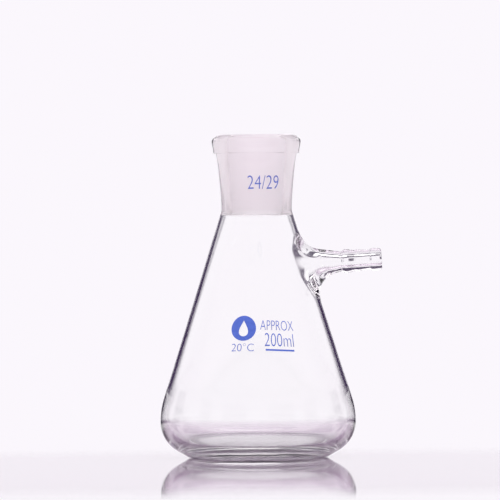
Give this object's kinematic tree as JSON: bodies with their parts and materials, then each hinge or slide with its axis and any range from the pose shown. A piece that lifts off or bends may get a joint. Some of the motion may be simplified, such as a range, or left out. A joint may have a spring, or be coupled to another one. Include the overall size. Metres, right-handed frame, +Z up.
{
  "type": "filter flask",
  "caption": "Conical glass filter flask with a ground socket in its neck and a ridged side arm for vacuum hose.",
  "frame": {"origin": "centre of the flat base, on the axis of the flask", "axes": "+Z up along the axis of the flask through the mouth, +X in the plane of the side arm, which points along +X and 3.3 degrees up"},
  "size_m": [0.0901, 0.079, 0.13],
  "materials": {
    "clear_glass": "clear, fire polished",
    "ground_glass": "clear outside, ground matt on the tapered bore",
    "blue_enamel": "fired ceramic ink, satin"
  },
  "bodies": {
    "root": {"flask_body": "clear_glass", "ground_socket": "ground_glass", "rim_collar": "clear_glass", "side_arm": "clear_glass", "hose_connector": "clear_glass"}
  },
  "joints": []
}
